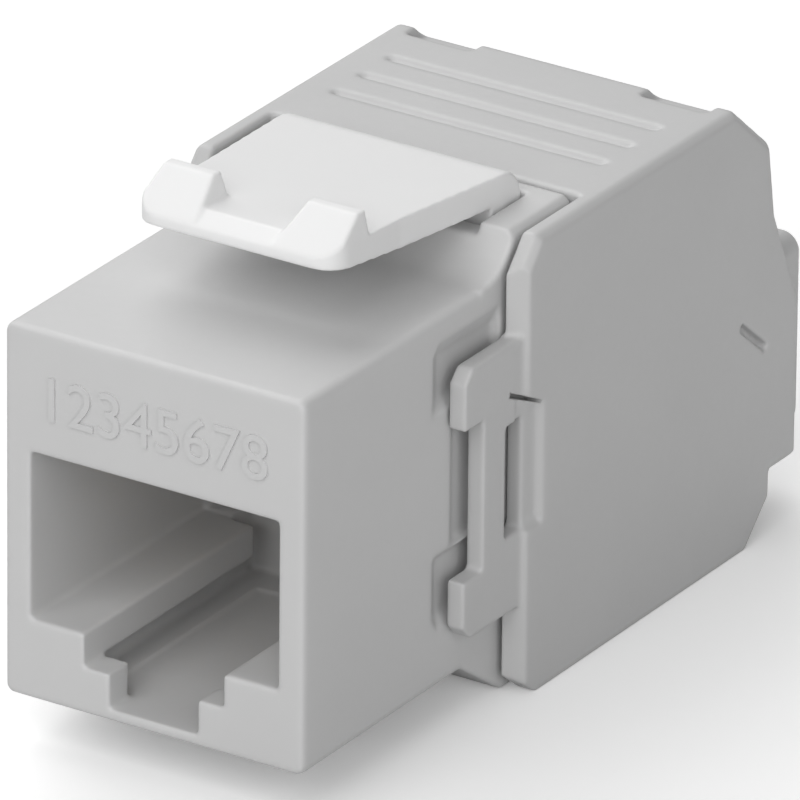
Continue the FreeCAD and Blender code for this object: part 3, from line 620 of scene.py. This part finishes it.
# ---- rules for what repeats or follows a path ----------------------------------------------------
class Rules:
    """The Geometry Nodes trees."""

    @staticmethod
    def start(name: str, inputs: dict[str, str]) -> tuple[bpy.types.NodeTree, bpy.types.Node]:
        """Opens a tree with a geometry input, named inputs and a geometry output.

        Args:
            name: the tree's name.
            inputs: the socket type of each named input.

        Returns:
            The tree and its input node.
        """
        tree = bpy.data.node_groups.new(name, "GeometryNodeTree")
        tree.interface.new_socket("Geometry", in_out="INPUT", socket_type="NodeSocketGeometry")
        for label, kind in inputs.items():
            tree.interface.new_socket(label, in_out="INPUT", socket_type=kind)
        tree.interface.new_socket("Geometry", in_out="OUTPUT", socket_type="NodeSocketGeometry")
        return tree, add_node(tree, "NodeGroupInput")

    @staticmethod
    def finish(tree: bpy.types.NodeTree, shape: bpy.types.NodeSocket,
               material: bpy.types.Material) -> None:
        """Ends a tree with real geometry in its material.

        Args:
            tree: the tree.
            shape: the socket that gives the finished shape.
            material: its finish.
        """
        real = add_node(tree, "GeometryNodeRealizeInstances", None, {"Geometry": shape})
        dressed = add_node(tree, "GeometryNodeSetMaterial", {"Material": material},
                           {"Geometry": real.outputs["Geometry"]})
        add_node(tree, "NodeGroupOutput", None, {"Geometry": dressed.outputs["Geometry"]})

    @staticmethod
    def bent_wire(material: bpy.types.Material) -> bpy.types.NodeTree:
        """A round wire that is drawn along a line of corners and bent at each.

        Args:
            material: the wire's finish.

        Returns:
            The tree.
        """
        tree, given = Rules.start("bent_wire", {"Wire Radius": "NodeSocketFloat",
                                                "Bend Radius": "NodeSocketFloat",
                                                "Sides": "NodeSocketInt"})
        line = add_node(tree, "GeometryNodeMeshToCurve", None, {"Mesh": given.outputs["Geometry"]})
        bent = add_node(tree, "GeometryNodeFilletCurve", {"mode": "POLY", "Count": BEND_STEPS},
                        {"Curve": line.outputs["Curve"], "Radius": given.outputs["Bend Radius"]})
        ring = add_node(tree, "GeometryNodeCurvePrimitiveCircle", None,
                        {"Resolution": given.outputs["Sides"],
                         "Radius": given.outputs["Wire Radius"]})
        wire = add_node(tree, "GeometryNodeCurveToMesh", {"Fill Caps": True},
                        {"Curve": bent.outputs["Curve"], "Profile Curve": ring.outputs["Curve"]})
        Rules.finish(tree, wire.outputs["Mesh"], material)
        return tree

    @staticmethod
    def raised_digits(material: bpy.types.Material) -> bpy.types.NodeTree:
        """A row of digits that stands out of an upright face, towards -Y.

        Args:
            material: the digits' finish.

        Returns:
            The tree.
        """
        tree, given = Rules.start("raised_digits", {"Digits": "NodeSocketString",
                                                    "Size": "NodeSocketFloat",
                                                    "Spacing": "NodeSocketFloat",
                                                    "Relief": "NodeSocketFloat",
                                                    "Foot": "NodeSocketVector"})
        text = add_node(tree, "GeometryNodeStringToCurves", {"align_x": "CENTER"},
                        {"String": given.outputs["Digits"], "Size": given.outputs["Size"],
                         "Character Spacing": given.outputs["Spacing"]})
        lines = add_node(tree, "GeometryNodeRealizeInstances", None,
                         {"Geometry": text.outputs["Curve Instances"]})
        face = add_node(tree, "GeometryNodeFillCurve", None, {"Curve": lines.outputs["Geometry"]})
        front = add_node(tree, "GeometryNodeExtrudeMesh", {"mode": "FACES", "Individual": False},
                         {"Mesh": face.outputs["Mesh"], "Offset Scale": given.outputs["Relief"]})
        back = add_node(tree, "GeometryNodeFlipFaces", None, {"Mesh": face.outputs["Mesh"]})
        whole = add_node(tree, "GeometryNodeJoinGeometry", None,
                         {"Geometry": front.outputs["Mesh"]})
        tree.links.new(back.outputs["Mesh"], whole.inputs["Geometry"])
        closed = add_node(tree, "GeometryNodeMergeByDistance", {"Distance": SEAM_MM * MM},
                          {"Geometry": whole.outputs["Geometry"]})
        stood = add_node(tree, "GeometryNodeTransform",
                         {"Rotation": (math.radians(90), 0.0, 0.0)},
                         {"Geometry": closed.outputs["Geometry"],
                          "Translation": given.outputs["Foot"]})
        Rules.finish(tree, stood.outputs["Geometry"], material)
        return tree


# ---- sub-assemblies ------------------------------------------------------------------------------
@dataclass
class FrontHousing:
    """The moulded front block with its shoulder, and the raised position numbers on its face.

    Attributes:
        voxel_mm: the cell of the block's mesh.
        passes: how often that mesh is smoothed.
        keep: the share of its faces that stays.
        undercut_mm: the near corner (x, y, z) of the groove below the channel's step.
        undercut_far_mm: its far corner.
        port_end: the rings of the port's last stretch, which the CAD solid leaves full.
        channel_end: the rings of the latch channel's last stretch.
        arm_pocket: the rings of the shallow pockets beside a snap arm: upper, lower, middle.
        digits: the position numbers over the port.
        digit_size_mm: the size of their type.
        digit_spacing: how wide they stand, where 1 is the type's own spacing.
        digit_relief_mm: how far they stand out.
        digit_sink_mm: how far they reach into the face.
        digit_base_z_mm: the height of their feet above the block's underside.
    """

    voxel_mm: float = 0.11
    passes: int = 5
    keep: float = 0.25
    undercut_mm: tuple[float, float, float] = (3.3, 1.75, 0.65)
    undercut_far_mm: tuple[float, float, float] = (4.6, 13.0, 2.1)
    port_end: tuple = (
        (5.9, (12.8, 3.7), (14.5, 3.7), (14.5, 8.5), (12.8, 8.5)),
        (-5.9, (12.8, 3.7), (14.5, 3.7), (14.5, 8.5), (12.8, 8.5)))
    channel_end: tuple = (
        (4.6, (12.8, 0.65), (14.5, 0.65), (14.5, 3.8), (12.8, 3.8)),
        (-4.6, (12.8, 0.65), (14.5, 0.65), (14.5, 3.8), (12.8, 3.8)))
    arm_pocket: tuple = (
        ((7.4, (9.3, 12.2), (9.3, 15.1), (10.0, 15.9), (14.6, 15.9), (14.6, 12.2)),
         (6.85, (10.4, 12.8), (10.4, 14.7), (14.6, 14.7), (14.6, 12.8))),
        ((7.4, (9.4, 6.2), (14.6, 6.2), (14.6, 2.3), (10.0, 2.3), (9.4, 3.2)),
         (6.85, (10.4, 5.6), (14.6, 5.6), (14.6, 3.2), (10.4, 3.2))),
        ((7.4, (10.7, 12.4), (14.6, 12.4), (14.6, 6.0), (10.7, 6.0)),
         (6.85, (11.7, 12.4), (14.6, 12.4), (14.6, 6.0), (11.7, 6.0))),
    )
    digits: str = "12345678"
    digit_size_mm: float = 2.8
    digit_spacing: float = 1.0
    digit_relief_mm: float = 0.1
    digit_sink_mm: float = 0.1
    digit_base_z_mm: float = 12.75

    def build(self, shelf: FinishShelf) -> list[bpy.types.Object]:
        """Makes the housing and its numbers."""
        plastic = shelf.take(Trade.HOUSING_ABS)
        shell = Bench.solid_copy("front_housing", "housing_shell")
        self.set_face_back(shell)
        Bench.carve_sides(shell, (self.undercut(),) + self.arm_pocket)
        for rings in (self.port_end, self.channel_end):
            Bench.carve(shell, Bench.ring_corners(rings, 1))
        Bench.melt(shell, self.voxel_mm, self.passes, self.keep)
        Bench.dress(shell, plastic, "housing_plastic", "housing", "front_housing")
        numbers = self.numbers(plastic)
        Bench.dress(numbers, plastic, "housing_plastic", "housing")
        return [shell, numbers]

    def undercut(self) -> tuple:
        """The groove that widens the plug's latch channel below its step.

        Returns:
            Its two rings.
        """
        x0, y0, z0 = self.undercut_mm
        x1, y1, z1 = self.undercut_far_mm
        ring = ((y0, z0), (y1, z0), (y1, z1), (y0, z1))
        return ((x0,) + ring, (x1,) + ring)

    def set_face_back(self, shell: bpy.types.Object) -> None:
        """Sets the flat front face back by the numbers' relief, so that they end where it was.

        Args:
            shell: the copy of the housing.
        """
        face_y = place(0, 0, 0).y + self.digit_relief_mm * MM
        for vert in shell.data.vertices:
            vert.co.y = max(vert.co.y, face_y)

    def numbers(self, plastic: bpy.types.Material) -> bpy.types.Object:
        """Raises the position numbers over the port.

        Args:
            plastic: the housing's finish.

        Returns:
            The row of numbers.
        """
        row = Bench.new_object("position_numbers", bpy.data.meshes.new("position_numbers"))
        thickness_mm = self.digit_relief_mm + self.digit_sink_mm
        foot = place(0, thickness_mm, self.digit_base_z_mm)
        Bench.grow(row, Rules.raised_digits(plastic), {
            "Digits": self.digits, "Size": self.digit_size_mm * MM,
            "Spacing": self.digit_spacing, "Relief": thickness_mm * MM, "Foot": foot})
        return row


@dataclass
class KeystoneLatch:
    """The latch lever with its two catches.

    Attributes:
        voxel_mm: the cell of the lever's mesh.
        passes: how often that mesh is smoothed.
        keep: the share of its faces that stays.
    """

    voxel_mm: float = 0.07
    passes: int = 14
    keep: float = 0.35

    def build(self, shelf: FinishShelf) -> list[bpy.types.Object]:
        """Makes the latch."""
        lever = Bench.solid_copy("keystone_latch", "latch_lever")
        Bench.melt(lever, self.voxel_mm, self.passes, self.keep)
        Bench.dress(lever, shelf.take(Trade.LATCH_ACETAL), "latch_plastic", "latch",
                    "keystone_latch")
        return [lever]


@dataclass
class PlugContacts:
    """The sprung wires of the port and the comb that guides them.

    Attributes:
        comb_radius_mm: the rounding of the comb's edges.
        wire_radius_mm: half the wire's thickness.
        bend_radius_mm: the radius of the wire's bends.
        sides: the flats round the wire.
        corners_mm: the (y, z) points between which a wire runs straight, from its root to its tip.
    """

    comb_radius_mm: float = 0.08
    wire_radius_mm: float = 0.2
    bend_radius_mm: float = 1.0
    sides: int = 20
    corners_mm: tuple[tuple[float, float], ...] = (
        (16.5, 10.15), (12.0, 10.15), (8.4, 8.95), (3.9, 10.35))

    def build(self, shelf: FinishShelf) -> list[bpy.types.Object]:
        """Makes the comb and bends the wires."""
        comb = Bench.rounded_copy("contact_carrier", "contact_comb", self.comb_radius_mm, 2)
        Bench.dress(comb, shelf.take(Trade.CARRIER_PBT), "carrier_plastic", "housing",
                    "contact_carrier")
        gold = shelf.take(Trade.CONTACT_GOLD)
        rule = Rules.bent_wire(gold)
        made = [comb]
        for number in range(1, WAYS + 1):
            node = "spring_contact_%d" % number
            wire = self.wire(node, "bent_wire_%d" % number, rule)
            Bench.dress(wire, gold, "contact_gold", node + "_wire", node)
            made.append(wire)
        return made

    def wire(self, node: str, name: str, rule: bpy.types.NodeTree) -> bpy.types.Object:
        """Bends one wire over the middle of its CAD node.

        Args:
            node: the CAD node of the wire.
            name: the name of the new piece.
            rule: the tree that bends it.

        Returns:
            The wire.
        """
        low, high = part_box(node)
        middle_x = (low[0] + high[0]) / 2
        mesh = bpy.data.meshes.new(name)
        line = [place(0, y, z) + Vector((middle_x, 0, 0)) for y, z in self.corners_mm]
        mesh.from_pydata(line, [(i, i + 1) for i in range(len(line) - 1)], [])
        wire = Bench.new_object(name, mesh)
        Bench.grow(wire, rule, {"Wire Radius": self.wire_radius_mm * MM,
                                "Bend Radius": self.bend_radius_mm * MM, "Sides": self.sides})
        Bench.smooth(wire)
        return wire


@dataclass
class TerminalDeck:
    """The board behind the port, and the terminal block and blades that stand on it.

    Attributes:
        board_radius_mm: the rounding of the board's edges.
        block_radius_mm: the rounding of the block's edges.
        blade_radius_mm: the rounding of the blades' edges.
    """

    board_radius_mm: float = 0.04
    block_radius_mm: float = 0.12
    blade_radius_mm: float = 0.04

    def build(self, shelf: FinishShelf) -> list[bpy.types.Object]:
        """Makes the board, the block and the blades."""
        board = Bench.rounded_copy("circuit_board", "masked_board", self.board_radius_mm, 1)
        Bench.dress(board, shelf.take(Trade.BOARD_MASK), "board_laminate", "housing",
                    "circuit_board")
        block = Bench.rounded_copy("idc_block", "terminal_towers", self.block_radius_mm, 2)
        Bench.dress(block, shelf.take(Trade.TERMINAL_PC), "terminal_plastic", "housing",
                    "idc_block")
        made = [board, block]
        for number in range(1, WAYS + 1):
            node = "idc_contact_%d" % number
            blade = Bench.rounded_copy(node, "blade_%d" % number, self.blade_radius_mm, 1)
            Bench.dress(blade, shelf.take(Trade.TERMINAL_TIN), "terminal_metal", "housing", node)
            made.append(blade)
        return made


@dataclass
class RearCover:
    """The snap-on rear cover and the wire manager inside it.

    Attributes:
        voxel_mm: the cell of the cover's mesh.
        passes: how often that mesh is smoothed.
        keep: the share of its faces that stays.
        manager_radius_mm: the rounding of the wire manager's edges.
        hollows: the rings of the relief behind a snap arm's window.
        slits: the rings of the slanting slit above it, cut last because it has sharp edges.
    """

    voxel_mm: float = 0.12
    passes: int = 4
    keep: float = 0.25
    manager_radius_mm: float = 0.15
    hollows: tuple = (
        ((8.6, (14.4, 11.86), (16.04, 10.94), (16.06, 5.85), (14.4, 5.6)),
         (8.12, (14.4, 11.86), (16.04, 10.94), (16.06, 5.85), (14.4, 5.6))),
    )
    slits: tuple = (
        ((8.6, (13.95, 12.07), (16.15, 10.98), (16.15, 10.8), (13.95, 11.82)),
         (7.5, (13.95, 12.07), (16.15, 10.98), (16.15, 10.8), (13.95, 11.82))),
    )

    def build(self, shelf: FinishShelf) -> list[bpy.types.Object]:
        """Makes the cover and the wire manager."""
        resin = shelf.take(Trade.COVER_ABS)
        shell = Bench.solid_copy("rear_cover", "cover_shell")
        Bench.carve_sides(shell, self.hollows)
        Bench.melt(shell, self.voxel_mm, self.passes, self.keep)
        Bench.carve_sides(shell, self.slits)
        Bench.trim(shell)
        Bench.dress(shell, resin, "cover_plastic", "cover", "rear_cover")
        manager = Bench.rounded_copy("wire_manager", "manager_block", self.manager_radius_mm, 2)
        Bench.dress(manager, resin, "cover_plastic", "cover", "wire_manager")
        return [shell, manager]


# ---- studio --------------------------------------------------------------------------------------
@dataclass(frozen=True)
class SoftBox:
    """A square lamp behind a diffuser.

    Attributes:
        name: the lamp's name.
        azimuth: degrees round the jack, 0 in front of the port and 90 to its right.
        elevation: degrees above the floor.
        level: the light it gives a white surface that faces it, where 1 shows as white.
        size: its side, in metres.
        distance: how far it stands off, in metres.
    """

    name: str
    azimuth: float
    elevation: float
    level: float
    size: float = 0.45
    distance: float = 0.5

    def build(self, target: Vector) -> bpy.types.Object:
        """Hangs the lamp so that it faces the target.

        Args:
            target: the point that it faces.

        Returns:
            The lamp.
        """
        turn, rise = math.radians(self.azimuth), math.radians(self.elevation)
        out = Vector((math.sin(turn) * math.cos(rise), -math.cos(turn) * math.cos(rise),
                      math.sin(rise)))
        lamp = bpy.data.lights.new(self.name, "AREA")
        lamp.shape = "SQUARE"
        lamp.size = self.size
        # P watts from d metres light a white surface to P / (pi * d) ** 2.
        lamp.energy = self.level * math.pi ** 2 * self.distance ** 2
        holder = bpy.data.objects.new(self.name, lamp)
        holder.location = target + out * self.distance
        holder.rotation_mode = "QUATERNION"
        holder.rotation_quaternion = (-out).to_track_quat("-Z", "Y")
        bpy.context.scene.collection.objects.link(holder)
        return holder


@dataclass
class Studio:
    """The pale floor, the soft light and the camera.

    Attributes:
        azimuth: degrees from the port's front round to the camera.
        elevation: degrees up to the camera.
        roll: degrees that the camera leans.
        distance_mm: from the camera to what it looks at.
        lens_mm: its focal length.
        sensor_mm: the width of its sensor.
        clip_m: the nearest and the farthest distance that it sees.
        target_mm: the point of the jack that it looks at.
        floor_half_m: half the side of the floor.
        floor_colour: the floor's colour, as sRGB hex, for the light that it returns.
        background_lift: what the camera sees on the floor beyond that light, which keeps the
            background white round the jack's shadow.
        world_level: how bright the even light of the room is.
        lamps: the lamps.
    """

    azimuth: float = 32.50
    elevation: float = 24.71
    roll: float = 0.57
    distance_mm: float = 660.6
    lens_mm: float = 725.9
    sensor_mm: float = 36.0
    clip_m: tuple[float, float] = (0.05, 10.0)
    target_mm: tuple[float, float, float] = (2.24, 15.0, 9.83)
    floor_half_m: float = 3.0
    floor_colour: str = "#C8C8C8"
    background_lift: float = 0.17
    world_level: float = 0.2
    lamps: tuple[SoftBox, ...] = (
        SoftBox("rear_left_softbox", -120.0, 45.0, 0.6),
        SoftBox("front_softbox", 0.0, 45.0, 0.47),
        SoftBox("low_front_softbox", 20.0, 15.0, 0.2),
        SoftBox("low_right_softbox", 60.0, 15.0, 0.29),
    )

    def build(self) -> None:
        """Sets up everything round the jack."""
        self.floor()
        self.world()
        centre = place(*self.target_mm)
        for lamp in self.lamps:
            lamp.build(centre)
        self.camera(centre)
        bpy.context.scene.view_settings.view_transform = "Standard"

    def floor(self) -> None:
        """Lays the pale floor that the jack stands on."""
        half = self.floor_half_m
        mesh = bpy.data.meshes.new("studio_floor")
        mesh.from_pydata([(-half, -half, 0), (half, -half, 0), (half, half, 0), (-half, half, 0)],
                         [], [(0, 1, 2, 3)])
        floor = Bench.new_object("studio_floor", mesh)
        material = blank_material("matt_white_paper")
        tree = material.node_tree
        path = add_node(tree, "ShaderNodeLightPath")
        seen = add_node(tree, "ShaderNodeMath", {"operation": "MAXIMUM"},
                        {0: path.outputs["Is Camera Ray"], 1: path.outputs["Is Glossy Ray"]})
        shown = add_node(tree, "ShaderNodeMath", {"operation": "MAXIMUM"},
                         {0: seen.outputs[0], 1: path.outputs["Is Transmission Ray"]})
        colour = add_node(tree, "ShaderNodeMix",
                          {"data_type": "RGBA", MIX_A: linear(self.floor_colour),
                           MIX_B: linear("#FFFFFF")},
                          {0: shown.outputs[0]})
        shader = add_node(tree, "ShaderNodeBsdfDiffuse", None,
                          {"Color": colour.outputs[MIX_RESULT]})
        lift = add_node(tree, "ShaderNodeMath",
                        {"operation": "MULTIPLY", 1: self.background_lift},
                        {0: path.outputs["Is Camera Ray"]})
        glow = add_node(tree, "ShaderNodeEmission", {"Color": (1, 1, 1, 1)},
                        {"Strength": lift.outputs[0]})
        both = add_node(tree, "ShaderNodeAddShader", None,
                        {0: shader.outputs["BSDF"], 1: glow.outputs["Emission"]})
        add_node(tree, "ShaderNodeOutputMaterial", None, {"Surface": both.outputs["Shader"]})
        mesh.materials.append(material)

    def world(self) -> None:
        """Fills the room with even light, and shows it white to the camera."""
        world = bpy.data.worlds.new("studio_room")
        bpy.context.scene.world = world
        world.use_nodes = True
        tree = world.node_tree
        tree.nodes.clear()
        path = add_node(tree, "ShaderNodeLightPath")
        level = add_node(tree, "ShaderNodeMapRange",
                         {"To Min": self.world_level, "To Max": 1.0},
                         {"Value": path.outputs["Is Camera Ray"]})
        light = add_node(tree, "ShaderNodeBackground", {"Color": (1, 1, 1, 1)},
                         {"Strength": level.outputs["Result"]})
        add_node(tree, "ShaderNodeOutputWorld", None, {"Surface": light.outputs["Background"]})

    def camera(self, centre: Vector) -> None:
        """Stands the camera where it looks at the jack's centre.

        Args:
            centre: the point that it looks at.
        """
        turn, rise = math.radians(self.azimuth), math.radians(self.elevation)
        back = Vector((math.sin(turn) * math.cos(rise), -math.cos(turn) * math.cos(rise),
                       math.sin(rise)))
        right = Vector((math.cos(turn), math.sin(turn), 0))
        above = back.cross(right)
        tilt = math.radians(self.roll)
        right, above = (right * math.cos(tilt) + above * math.sin(tilt),
                        above * math.cos(tilt) - right * math.sin(tilt))
        lens = bpy.data.cameras.new("product_camera")
        lens.sensor_width = self.sensor_mm
        lens.lens = self.lens_mm
        lens.clip_start, lens.clip_end = self.clip_m
        camera = bpy.data.objects.new("product_camera", lens)
        turned = Matrix((right, above, back)).transposed().to_4x4()
        camera.matrix_world = Matrix.Translation(centre + back * self.distance_mm * MM) @ turned
        bpy.context.scene.collection.objects.link(camera)
        bpy.context.scene.camera = camera


def main() -> None:
    """Builds the jack piece by piece, then the studio round it."""
    logging.basicConfig(level=logging.INFO, format="%(name)s: %(message)s")
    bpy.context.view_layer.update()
    shelf = FinishShelf()
    for assembly in (FrontHousing(), KeystoneLatch(), PlugContacts(), TerminalDeck(),
                     RearCover()):
        made = assembly.build(shelf)
        LOG.info("%s: %d pieces", type(assembly).__name__, len(made))
    Studio().build()


if __name__ == "__main__":
    main()
